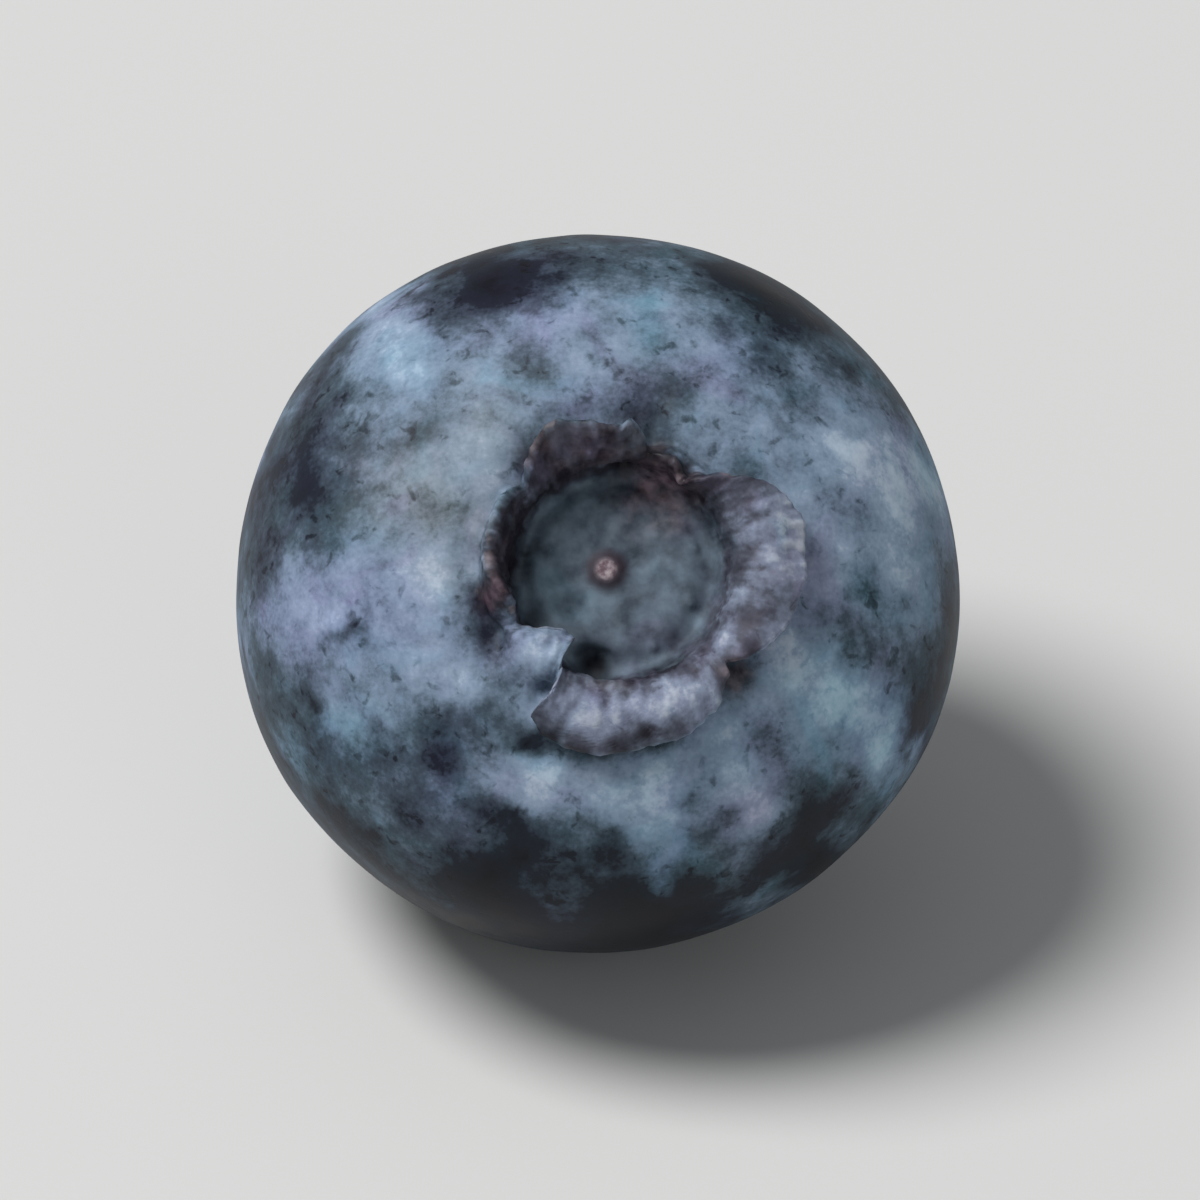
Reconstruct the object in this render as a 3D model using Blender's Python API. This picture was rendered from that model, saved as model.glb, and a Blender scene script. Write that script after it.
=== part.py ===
"""A ripe highbush blueberry, 18 mm across, lying on a small flat spot.

The fruit grew as one piece, so it is one solid: a round body, a crown of five calyx
lobes round a sunken disc at one end, and the scar of the stem at the other.

Metres, +Z up. The origin is the middle of the flat spot. The crown faces -Y and up.
Each ring of the surface is a circle round the crown's axis, given by its distance from
the axis and its height over the equator. Angles run anticlockwise from +X, as seen by
someone who faces the crown.
"""

import math
from typing import NamedTuple

import bmesh
import bpy
import numpy as np
from mathutils import Matrix, Vector

MM = 0.001

# The body is a superellipse turned round the axis, a little deeper towards the stem
BODY_RADIUS = 9.0 * MM
CROWN_HALF_HEIGHT = 7.0 * MM
STEM_HALF_HEIGHT = 7.3 * MM
CROWN_POWER = 2.45
STEM_POWER = 2.4
BODY_RINGS = 21

# How far the body is from round: swellings round it, their share of the radius, and
# the angle of the first one
SWELLINGS = ((2, 0.005, 95.0), (3, 0.006, 20.0), (5, 0.004, 50.0))

# The stem's scar, from its middle out to the skin: distance from the axis, and height
STEM_SCAR = (
    (0.28 * MM, -7.02 * MM),
    (0.50 * MM, -6.86 * MM),
    (0.85 * MM, -6.90 * MM),
    (1.12 * MM, -7.22 * MM),
    (1.30 * MM, -7.34 * MM),
)
STEM_SCAR_MIDDLE = -7.08 * MM
STEM_SKIN_RADIUS = 1.65 * MM

# The skin dips into a shallow groove where it meets the crown
SHOULDER_RADIUS = 4.20 * MM
GROOVE_RADIUS = 3.80 * MM
GROOVE_DEPTH = 0.10 * MM

# The crown's wall starts inside the groove, leans a little outward, and then bends over
# between two shares of its length. It is thicker at its root.
WALL_RADIUS = 3.08 * MM
WALL_ROOT = 6.35 * MM
WALL_LEAN = 4.0
BEND_FROM = 0.10
BEND_TO = 0.65
ROOT_THICKNESS = 0.84 * MM
RIM_THICKNESS = 0.50 * MM
WALL_RINGS = 9
RIM_RINGS = 3

# Between two lobes the wall falls to a notch, of this share of its whole length. A lobe is
# round, with a slight point. The broad one is torn short on one side.
NOTCH_SHARE = 0.40
LOBE_POINT = 0.14
TEAR_AT = 45.0
TEAR_HALF_WIDTH = 26.0
TEAR_DEPTH = 1.20 * MM

# Where the rim stands off its circle: angle, half the width, and how far out
NUDGES = ((52.0, 16.0, -0.62 * MM), (92.0, 14.0, -0.25 * MM), (122.0, 12.0, 0.15 * MM))

# Where a lobe turns aside: angle, half the width, and how many degrees further round
TWISTS = ((226.0, 20.0, 17.0), (258.0, 26.0, -27.0))

# The crown sits a little off the axis: how far along X and Y, and over which distances
# from the axis the surface is shifted
CROWN_SHIFT = (0.30 * MM, -0.15 * MM)
SHIFT_RADIUS = 3.1 * MM
SHIFT_REACH = 1.6 * MM


class Lobe(NamedTuple):
    """A calyx lobe: the angles of its two notches, its length, its bend and its fullness.

    The bend is in degrees outwards. One below 0 turns the lobe in over the disc.
    """

    start: float
    end: float
    length: float
    bend: float
    fullness: float


LOBES = (
    Lobe(74, 136, 1.52 * MM, 36, 2.6),
    Lobe(136, 204, 1.20 * MM, 10, 2.4),
    Lobe(204, 237, 1.38 * MM, -128, 2.2),
    Lobe(237, 316, 1.82 * MM, 98, 3.4),
    Lobe(316, 434, 2.35 * MM, 104, 2.6),
)
COLUMN_STEP = 4.2

# The disc inside the crown, from its margin in to the scar of the style
DISC = (
    (2.54 * MM, 5.98 * MM),
    (2.34 * MM, 5.74 * MM),
    (1.90 * MM, 5.84 * MM),
    (1.15 * MM, 5.72 * MM),
    (0.48 * MM, 5.68 * MM),
    (0.28 * MM, 5.80 * MM),
)
DISC_MIDDLE = 5.80 * MM

# How the berry lies: the axis is tipped forward from upright, and its underside slumps
# back and sags a little, so that the flat spot is under its weight
TIP_FORWARD = 43.0
EQUATOR_ABOVE = 8.58 * MM
EQUATOR_BEHIND = 0.40 * MM
SLUMP = 1.15 * MM
SAG = 0.25 * MM
SAG_RADIUS = 3.4 * MM
SAG_BEHIND = 1.50 * MM
CLOSEST_CORNERS = 0.04 * MM

SKIN_COLOUR = (0.085, 0.115, 0.17, 1.0)
SKIN_ROUGHNESS = 0.62


def skin_height(radius, half_height, power):
    """Height of the skin over the equator, at a distance from the axis."""
    return half_height * (1 - (radius / BODY_RADIUS) ** power) ** (1 / power)


def columns():
    """The angles, in degrees, at which each ring has a corner: closer together at the notches."""
    angles = []
    for lobe in LOBES:
        count = round((lobe.end - lobe.start) / COLUMN_STEP)
        across = np.arange(count) / count * 2 - 1
        across = (across + np.sin(across * math.pi / 2)) / 2
        angles.append((lobe.start + lobe.end) / 2 + across * (lobe.end - lobe.start) / 2)
    return np.concatenate(angles)


def unevenness(angle):
    """The body's swelling at each angle, as a share of its radius."""
    total = np.zeros_like(angle)
    for count, share, first in SWELLINGS:
        total += share * np.cos(np.radians(count * (angle - first)))
    return total


def body_rings(angle):
    """Rings of the skin, from beside the stem's scar over the equator to the shoulder."""
    stem_end = math.acos((STEM_SKIN_RADIUS / BODY_RADIUS) ** (STEM_POWER / 2))
    crown_end = math.acos((SHOULDER_RADIUS / BODY_RADIUS) ** (CROWN_POWER / 2))
    swelling = unevenness(angle)
    rings = []
    for turn in np.linspace(-stem_end, crown_end, BODY_RINGS):
        above = turn > 0
        power = CROWN_POWER if above else STEM_POWER
        half_height = CROWN_HALF_HEIGHT if above else STEM_HALF_HEIGHT
        radius = BODY_RADIUS * math.cos(turn) ** (2 / power)
        height = math.copysign(half_height * abs(math.sin(turn)) ** (2 / power), turn)
        rings.append((radius * (1 + swelling * math.cos(turn)), height))
    return rings


def bell(angle, middle, half_width):
    """A bell over how far an angle is from the middle, in half widths, round the circle."""
    away = (angle - middle + 180) % 360 - 180
    return np.exp(-((away / half_width) ** 2))


def lobe_shape(angle):
    """The wall's length at each angle, its bend over the whole length, and that length.

    At a notch the bend and the whole length are the means of the two lobes'. From there to
    a lobe's middle they go over to the lobe's own, and the wall rises to all of its length.
    """
    length = np.zeros_like(angle)
    bend = np.zeros_like(angle)
    whole = np.zeros_like(angle)
    for before, lobe, after in zip((LOBES[-1], *LOBES), LOBES, (*LOBES[1:], LOBES[0])):
        half = (lobe.end - lobe.start) / 2
        offset = (angle - lobe.start - half + 180) % 360 - 180
        inside = np.abs(offset) <= half
        across = np.abs(offset[inside] / half)
        blade = 1 - (1 - LOBE_POINT) * across**lobe.fullness - LOBE_POINT * across
        left = offset[inside] < 0
        beside_bend = np.where(left, before.bend, after.bend)
        beside_length = np.where(left, before.length, after.length)
        bend[inside] = lobe.bend + (beside_bend - lobe.bend) / 2 * (1 - blade)
        whole[inside] = lobe.length + (beside_length - lobe.length) / 2 * (1 - blade)
        length[inside] = whole[inside] * (NOTCH_SHARE + (1 - NOTCH_SHARE) * blade)
    length -= TEAR_DEPTH * bell(angle, TEAR_AT, TEAR_HALF_WIDTH)
    return length, bend, whole


def wall_side(angle, along, side):
    """A ring on one side of the crown's wall.

    The wall's middle goes straight up at its lean, then turns along an arc, and then goes
    straight on. The arc's chord points halfway between the arc's two headings. A side of 1
    is the outer face and -1 the inner face. Along runs from 0 at the root to 1 at the rim.
    """
    length, bend, whole = lobe_shape(angle)
    lean = math.radians(WALL_LEAN)
    way = length * along
    arc = (BEND_TO - BEND_FROM) * whole
    before = np.minimum(way, BEND_FROM * whole)
    on_arc = np.clip(way - before, 0, arc)
    after = way - before - on_arc
    turned = np.radians(bend) * on_arc / arc
    heading = lean + turned
    chord = on_arc * np.sinc(turned / (2 * math.pi))
    radius = WALL_RADIUS + before * math.sin(lean) + after * np.sin(heading)
    radius += chord * np.sin(lean + turned / 2)
    height = WALL_ROOT + before * math.cos(lean) + after * np.cos(heading)
    height += chord * np.cos(lean + turned / 2)
    shift = sum(out * bell(angle, middle, width) for middle, width, out in NUDGES)
    half = (ROOT_THICKNESS + (RIM_THICKNESS - ROOT_THICKNESS) * along) / 2
    offset = side * half + shift * along**1.5
    return radius + offset * np.cos(heading), height - offset * np.sin(heading)


def rim_ring(angle, turn):
    """A ring over the wall's rounded rim: turn goes from 90 at its outer edge to -90 inside."""
    outer_radius, outer_height = wall_side(angle, 1, 1)
    inner_radius, inner_height = wall_side(angle, 1, -1)
    middle_radius = (outer_radius + inner_radius) / 2
    middle_height = (outer_height + inner_height) / 2
    across_radius = (outer_radius - inner_radius) / 2
    across_height = (outer_height - inner_height) / 2
    sideways = math.sin(math.radians(turn))
    upward = math.cos(math.radians(turn))
    return (
        middle_radius + across_radius * sideways - across_height * upward,
        middle_height + across_height * sideways + across_radius * upward,
    )


def crown_rings(angle):
    """Rings from the groove up the outside of the lobes, over their rims and down inside.

    Each ring is its radius, its height and how many degrees further round it has turned,
    which is the most at the lobes' tips.
    """
    groove_height = skin_height(GROOVE_RADIUS, CROWN_HALF_HEIGHT, CROWN_POWER) - GROOVE_DEPTH
    length, _, whole = lobe_shape(angle)
    aside = sum(out * bell(angle, middle, width) for middle, width, out in TWISTS)
    aside *= (length / whole) ** 2
    rings = [(GROOVE_RADIUS, groove_height, 0.0)]
    steps = np.linspace(0, 1, WALL_RINGS)
    rings += [(*wall_side(angle, along, 1), aside * along**2) for along in steps[2:]]
    turns = np.linspace(90, -90, RIM_RINGS + 2)[1:-1]
    rings += [(*rim_ring(angle, turn), aside) for turn in turns]
    rings += [(*wall_side(angle, along, -1), aside * along**2) for along in reversed(steps)]
    return rings


def berry_rings(angle):
    """Every ring in order, from the stem's scar to the disc."""
    below = [(*ring, 0.0) for ring in (*STEM_SCAR, *body_rings(angle))]
    inside = [(*ring, 0.0) for ring in DISC]
    return [*below, *crown_rings(angle), *inside]


def add_ring(bm, angle, ring):
    """Add a ring's corners to the mesh, shifted with the crown, and return them."""
    radius, height, aside = (np.broadcast_to(part, angle.shape) for part in ring)
    turn = np.radians(angle + aside)
    shifted = np.exp(-(((radius - SHIFT_RADIUS) / SHIFT_REACH) ** 2)) * (height > 0)
    across = radius * np.cos(turn) + CROWN_SHIFT[0] * shifted
    upward = radius * np.sin(turn) + CROWN_SHIFT[1] * shifted
    return [bm.verts.new(corner) for corner in zip(across, upward, height)]


def berry_skin():
    """The closed surface of the upright berry, its axis on Z and its equator at Z = 0."""
    bm = bmesh.new()
    angle = columns()
    rings = [add_ring(bm, angle, ring) for ring in berry_rings(angle)]
    for lower, upper in zip(rings, rings[1:]):
        for i, corner in enumerate(lower):
            bm.faces.new((lower[i - 1], corner, upper[i], upper[i - 1]))
    for ring, middle in ((rings[0], STEM_SCAR_MIDDLE), (rings[-1], DISC_MIDDLE)):
        pole = bm.verts.new((0, 0, middle))
        for i, corner in enumerate(ring):
            bm.faces.new((ring[i - 1], corner, pole))
    bmesh.ops.recalc_face_normals(bm, faces=bm.faces)
    return bm


def lay_down(bm):
    """Tip the berry forward, and let its underside slump and sag towards the origin."""
    place = Matrix.Translation(Vector((0, EQUATOR_BEHIND, EQUATOR_ABOVE)))
    place @= Matrix.Rotation(math.radians(TIP_FORWARD), 4, "X")
    bmesh.ops.transform(bm, matrix=place, verts=bm.verts)
    for corner in bm.verts:
        share = 1 - corner.co.z / EQUATOR_ABOVE
        if share > 0:
            corner.co.y += SLUMP * share**3
            away = math.hypot(corner.co.x, corner.co.y - SAG_BEHIND) / SAG_RADIUS
            corner.co.z -= SAG * math.exp(-away * away) * share


def flatten_underside(bm):
    """Cut the berry at the surface it lies on, and close the cut with flat faces."""
    cut = bmesh.ops.bisect_plane(
        bm,
        geom=[*bm.verts, *bm.edges, *bm.faces],
        plane_co=(0, 0, 0),
        plane_no=(0, 0, 1),
        clear_inner=True,
    )
    edge = [corner for corner in cut["geom_cut"] if isinstance(corner, bmesh.types.BMVert)]
    for corner in edge:
        corner.co.z = 0
    bmesh.ops.remove_doubles(bm, verts=edge, dist=CLOSEST_CORNERS)
    border = [side for side in bm.edges if side.is_boundary]
    spot = bmesh.ops.edgeloop_fill(bm, edges=border)["faces"]
    bmesh.ops.triangulate(bm, faces=spot, ngon_method="BEAUTY")
    bmesh.ops.recalc_face_normals(bm, faces=bm.faces)


def skin_material():
    """Dark blue skin under a dull coat of wax."""
    material = bpy.data.materials.new("berry_skin")
    material.use_nodes = True
    shader = material.node_tree.nodes["Principled BSDF"]
    shader.inputs["Base Color"].default_value = SKIN_COLOUR
    shader.inputs["Roughness"].default_value = SKIN_ROUGHNESS
    shader.inputs["Metallic"].default_value = 0
    return material


def make_blueberry():
    """The whole fruit as one object."""
    bm = berry_skin()
    lay_down(bm)
    flatten_underside(bm)
    mesh = bpy.data.meshes.new("blueberry")
    bm.to_mesh(mesh)
    bm.free()
    mesh.shade_smooth()
    mesh.set_sharp_from_angle(angle=math.radians(40))
    mesh.materials.append(skin_material())
    bpy.context.scene.collection.objects.link(bpy.data.objects.new("blueberry", mesh))


def main():
    for old in list(bpy.data.objects):
        bpy.data.objects.remove(old)
    make_blueberry()


main()
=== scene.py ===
"""The looks of a ripe highbush blueberry, 18 mm across, lying on a small flat spot.

The fruit grew as one piece, so it is one closed skin. It is worked out upright, as rings
round the axis of its crown, and then laid down as the solid lies. Metres, +Z up, with the
origin in the middle of the flat spot. The crown faces -Y and up. Angles run anticlockwise
from +X, as seen by someone who faces the crown.
"""

import logging
import math
from collections.abc import Mapping, Sequence
from dataclasses import dataclass
from enum import Enum, IntEnum

import bpy
import numpy as np
from mathutils import Matrix, Vector
from numpy.typing import NDArray


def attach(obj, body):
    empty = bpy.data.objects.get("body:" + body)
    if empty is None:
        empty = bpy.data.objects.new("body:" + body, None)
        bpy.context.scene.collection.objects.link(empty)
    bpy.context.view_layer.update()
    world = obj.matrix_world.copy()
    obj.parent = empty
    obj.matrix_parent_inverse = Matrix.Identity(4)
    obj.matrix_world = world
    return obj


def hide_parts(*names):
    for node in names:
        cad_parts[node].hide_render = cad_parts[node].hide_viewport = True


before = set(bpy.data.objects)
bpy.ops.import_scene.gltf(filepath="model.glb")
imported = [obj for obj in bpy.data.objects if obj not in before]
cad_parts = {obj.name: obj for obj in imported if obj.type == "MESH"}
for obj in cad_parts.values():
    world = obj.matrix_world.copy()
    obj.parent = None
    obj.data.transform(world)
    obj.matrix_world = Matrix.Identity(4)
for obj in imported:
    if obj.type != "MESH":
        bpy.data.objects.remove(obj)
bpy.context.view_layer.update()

log = logging.getLogger("blueberry")

MM = 0.001

Floats = NDArray[np.float64]
Span = tuple[float, float]
Profile = tuple[Span, ...]
Colour = tuple[float, float, float, float]
Tree = bpy.types.NodeTree
Socket = bpy.types.NodeSocket
Value = Socket | float | tuple[float, ...]


class Part(IntEnum):
    """The stretches of the skin, in order from the middle of the stem's scar to the style's.

    A ring's station is the number of its stretch plus how far along it the ring lies.
    """

    STEM_SCAR = 0
    BODY = 1
    OUTER_WALL = 2
    RIM = 3
    INNER_WALL = 4
    DISC = 5


class Layer(str, Enum):
    """What is kept at each point of the skin for its finish, each from 0 to 1."""

    WAX_WITH_PAINTED_LIGHT_AND_SHADE = "wax"
    BLUSH = "blush"
    WARMTH = "warmth"
    COOLNESS = "coolness"
    CALYX = "calyx"
    DRY_EDGE = "dry_edge"
    DISC = "disc"
    STYLE = "style"
    STYLE_RING = "style_ring"
    CORK = "cork"
    # Painted shade: a near-black in the disc's pits, darker where they are deeper
    PIT_SHADE = "hollow"


class Tone(str, Enum):
    """How the picture turns light into colour: STANDARD shows each surface's own colour."""

    STANDARD = "Standard"


def linear(code: str) -> Colour:
    """Turn an sRGB hex colour into a linear one.

    Args:
        code: The colour as "#RRGGBB".

    Returns:
        Red, green, blue and alpha, each from 0 to 1.
    """
    shares = (int(code[start : start + 2], 16) / 255 for start in (1, 3, 5))
    red, green, blue = (
        share / 12.92 if share <= 0.04045 else ((share + 0.055) / 1.055) ** 2.4 for share in shares
    )
    return red, green, blue, 1.0


def grain(size_mm: float) -> float:
    """Scale of a texture on Object coordinates whose grains are this many millimetres wide."""
    return 1 / (size_mm * MM)


def ease(low: float, high: float, values: Floats) -> Floats:
    """A smooth step: 0 below low and 1 above high, with the cubic 3t^2 - 2t^3 between them."""
    share = np.clip((values - low) / (high - low), 0, 1)
    return share * share * (3 - 2 * share)


@dataclass(frozen=True)
class Zone:
    """A stretch of values with a smooth step at each end."""

    rise: Span
    fall: Span

    def share(self, values: Floats) -> Floats:
        """1 inside the zone, and 0 outside both its steps."""
        return ease(*self.rise, values) * (1 - ease(*self.fall, values))


def bell(angle: Floats, middle: float, half_width: float) -> Floats:
    """exp(-x^2), where x is how far an angle is from the middle, in half widths round the ring."""
    away = (angle - middle + 180) % 360 - 180
    return np.exp(-((away / half_width) ** 2))


def add_node(
    tree: Tree,
    kind: str,
    output: str,
    settings: Mapping[str, object],
    links: Mapping[str, Value],
) -> Socket:
    """Add a node with its settings and what goes into it.

    Args:
        tree: The material's node tree.
        kind: The node's type, without "ShaderNode" before it.
        output: The identifier of the output that is wanted.
        settings: The node's own properties.
        links: A socket or a fixed value for each input, by the input's identifier.

    Returns:
        The output socket.
    """
    node = tree.nodes.new("ShaderNode" + kind)
    for name, value in settings.items():
        setattr(node, name, value)
    inputs = {socket.identifier: socket for socket in node.inputs}
    for name, value in links.items():
        if isinstance(value, Socket):
            tree.links.new(value, inputs[name])
        else:
            inputs[name].default_value = value
    return next(socket for socket in node.outputs if socket.identifier == output)


def ramp(tree: Tree, value: Value, colours: Sequence[tuple[float, str]]) -> Socket:
    """A colour that follows a value through these stops, each a value and a hex colour.

    Args:
        tree: The material's node tree.
        value: What the colour follows, from 0 to 1.
        colours: The stops, in rising order.

    Returns:
        The colour.
    """
    colour = add_node(tree, "ValToRGB", "Color", {}, {"Fac": value})
    stops = colour.node.color_ramp.elements
    stops[0].position, stops[1].position = colours[0][0], colours[-1][0]
    for place, _ in colours[1:-1]:
        stops.new(place)
    for stop, (_, code) in zip(stops, colours):
        stop.color = linear(code)
    return colour


@dataclass(frozen=True)
class LatticeNoise:
    """Smooth noise that is the same each run: random values on a cubic lattice."""

    seed: int
    period: int = 32

    def at(self, points: Floats, size: float) -> Floats:
        """Noise with grains of one size.

        Each corner of the cell that holds a point has a random value from -1 to 1. The eight
        are blended along each axis by the quintic 6t^5 - 15t^4 + 10t^3, where t is the
        point's place in the cell.

        Args:
            points: Places, with their coordinates on the last axis.
            size: The width of a cell, in the unit of the points.

        Returns:
            A value for each point.
        """
        values = np.random.default_rng(self.seed).uniform(-1, 1, (self.period,) * 3)
        cells = points / size
        lowest = np.floor(cells).astype(int)
        t = cells - lowest
        t = t**3 * (t * (t * 6 - 15) + 10)
        total = np.zeros(points.shape[:-1])
        for corner in np.ndindex(2, 2, 2):
            index = (lowest + corner) % self.period
            share = np.prod(np.where(corner, t, 1 - t), axis=-1)
            total += share * values[index[..., 0], index[..., 1], index[..., 2]]
        return total

    def layered(self, points: Floats, size: float, layers: int) -> Floats:
        """Noise at one size plus, in each further layer, half as strong at half the size."""
        return sum(self.at(points, size / 2**i) / 2**i for i in range(layers))


NOISE = LatticeNoise(seed=5)


def circle(angle: Floats, radius: float) -> Floats:
    """Places on a level circle round the axis, at these angles."""
    turn = np.radians(angle)
    return radius * np.stack([np.cos(turn), np.sin(turn), np.zeros_like(turn)], axis=-1)


@dataclass(frozen=True)
class Rings:
    """Rings round the crown's axis: a row for each ring, a column for each angle."""

    station: Floats
    radius: Floats
    height: Floats

    @classmethod
    def joined(cls, stretches: Sequence["Rings"]) -> "Rings":
        """All the rings of several stretches, in order."""
        return cls(
            np.concatenate([rings.station for rings in stretches]),
            np.concatenate([rings.radius for rings in stretches]),
            np.concatenate([rings.height for rings in stretches]),
        )

    def refined(self, spacing: Mapping[Part, float]) -> "Rings":
        """Closer rings, on a smooth curve through these.

        Between two rings the curve is a cubic. Its slope at a ring is that of the parabola
        through the ring and its neighbours, over the mean distance between rings.

        Args:
            spacing: The most that two rings of a stretch may be apart.

        Returns:
            The closer rings, from the first of these to the last.
        """
        knots = np.stack([self.radius, self.height], axis=-1)
        steps = np.diff(knots, axis=0)
        gaps = np.linalg.norm(steps, axis=-1).mean(axis=1)[:, None, None]
        slopes = steps / gaps
        inner = (slopes[:-1] * gaps[1:] + slopes[1:] * gaps[:-1]) / (gaps[:-1] + gaps[1:])
        slopes = np.concatenate([slopes[:1], inner, slopes[-1:]])
        widest = np.array([spacing[Part(int(station))] for station in self.station[:-1]])
        counts = np.ceil(gaps.ravel() / widest).astype(int)
        first = np.repeat(np.arange(len(counts)), counts)
        share = np.arange(counts.sum()) - np.repeat(np.cumsum(counts) - counts, counts)
        first = np.append(first, len(counts) - 1)
        share = np.append(share / np.repeat(counts, counts), 1.0)
        t = share[:, None, None]
        curve = (
            knots[first] * (1 + 2 * t) * (1 - t) ** 2
            + slopes[first] * gaps[first] * t * (1 - t) ** 2
            + knots[first + 1] * t**2 * (3 - 2 * t)
            + slopes[first + 1] * gaps[first] * t**2 * (t - 1)
        )
        station = self.station[first] * (1 - share) + self.station[first + 1] * share
        return Rings(station, curve[..., 0], curve[..., 1])


def stretch(part: Part, radius: Floats, height: Floats) -> Rings:
    """Rings whose stations run evenly over one stretch of the skin."""
    return Rings(part + np.arange(len(radius)) / len(radius), radius, height)


@dataclass(frozen=True)
class Body:
    """The round body: a superellipse turned round the axis, deeper towards the stem."""

    radius: float = 9.0 * MM
    crown_half_height: float = 7.0 * MM
    stem_half_height: float = 7.3 * MM
    crown_power: float = 2.45
    stem_power: float = 2.4
    stem_end: float = 1.65 * MM
    shoulder: float = 4.20 * MM
    rings: int = 61
    # How far the body is from round: swellings round it, their share of the radius, and
    # the angle of the first one
    swellings: tuple[tuple[int, float, float], ...] = (
        (2, 0.005, 95.0),
        (3, 0.006, 20.0),
        (5, 0.004, 50.0),
    )

    def crown_skin_height(self, radius: float) -> float:
        """Height of the skin over the equator on the crown's side, at a distance from the axis."""
        share = (radius / self.radius) ** self.crown_power
        return self.crown_half_height * (1 - share) ** (1 / self.crown_power)

    def surface(self, angle: Floats) -> Rings:
        """The skin from beside the stem's scar, over the equator, to the shoulder.

        With a turn t from the equator, the radius is the body's times cos(t)^(2 / power) and
        the height the half height times sin(t)^(2 / power).

        Args:
            angle: The angle of each column, in degrees.

        Returns:
            The body's rings.
        """
        stem_turn = math.acos((self.stem_end / self.radius) ** (self.stem_power / 2))
        crown_turn = math.acos((self.shoulder / self.radius) ** (self.crown_power / 2))
        turn = np.linspace(-stem_turn, crown_turn, self.rings)[:, None]
        power = np.where(turn > 0, self.crown_power, self.stem_power)
        half_height = np.where(turn > 0, self.crown_half_height, self.stem_half_height)
        swelling = sum(
            share * np.cos(np.radians(count * (angle - first)))
            for count, share, first in self.swellings
        )
        radius = self.radius * np.cos(turn) ** (2 / power) * (1 + swelling * np.cos(turn))
        height = np.sign(turn) * half_height * np.abs(np.sin(turn)) ** (2 / power)
        return stretch(Part.BODY, radius, np.broadcast_to(height, radius.shape))


@dataclass(frozen=True)
class StemScar:
    """The round pit where the stem broke off, with a collar of skin round it."""

    # Distance from the axis and height, from the middle outwards
    profile: Profile = (
        (0.10 * MM, -7.07 * MM),
        (0.28 * MM, -7.02 * MM),
        (0.50 * MM, -6.86 * MM),
        (0.85 * MM, -6.90 * MM),
        (1.12 * MM, -7.22 * MM),
        (1.30 * MM, -7.34 * MM),
    )
    middle: float = -7.08 * MM
    ragged: float = 0.06
    # The size of the outline's noise, as a share of the pit's radius
    ragged_size: float = 0.5
    noise: LatticeNoise = NOISE

    def surface(self, angle: Floats) -> Rings:
        """The pit's rings, from its middle out, each with a slightly ragged outline."""
        radius, height = np.array(self.profile).T[..., None] * np.ones_like(angle)
        outline = self.noise.layered(circle(angle, 1.0), self.ragged_size, 3)
        return stretch(Part.STEM_SCAR, radius * (1 + self.ragged * outline), height)


@dataclass(frozen=True)
class Lobe:
    """A calyx lobe: the angles of its two notches, its length, its bend and its fullness.

    The bend is in degrees outwards. One below 0 turns the lobe in over the disc.
    """

    start: float
    end: float
    length: float
    bend: float
    fullness: float


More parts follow.
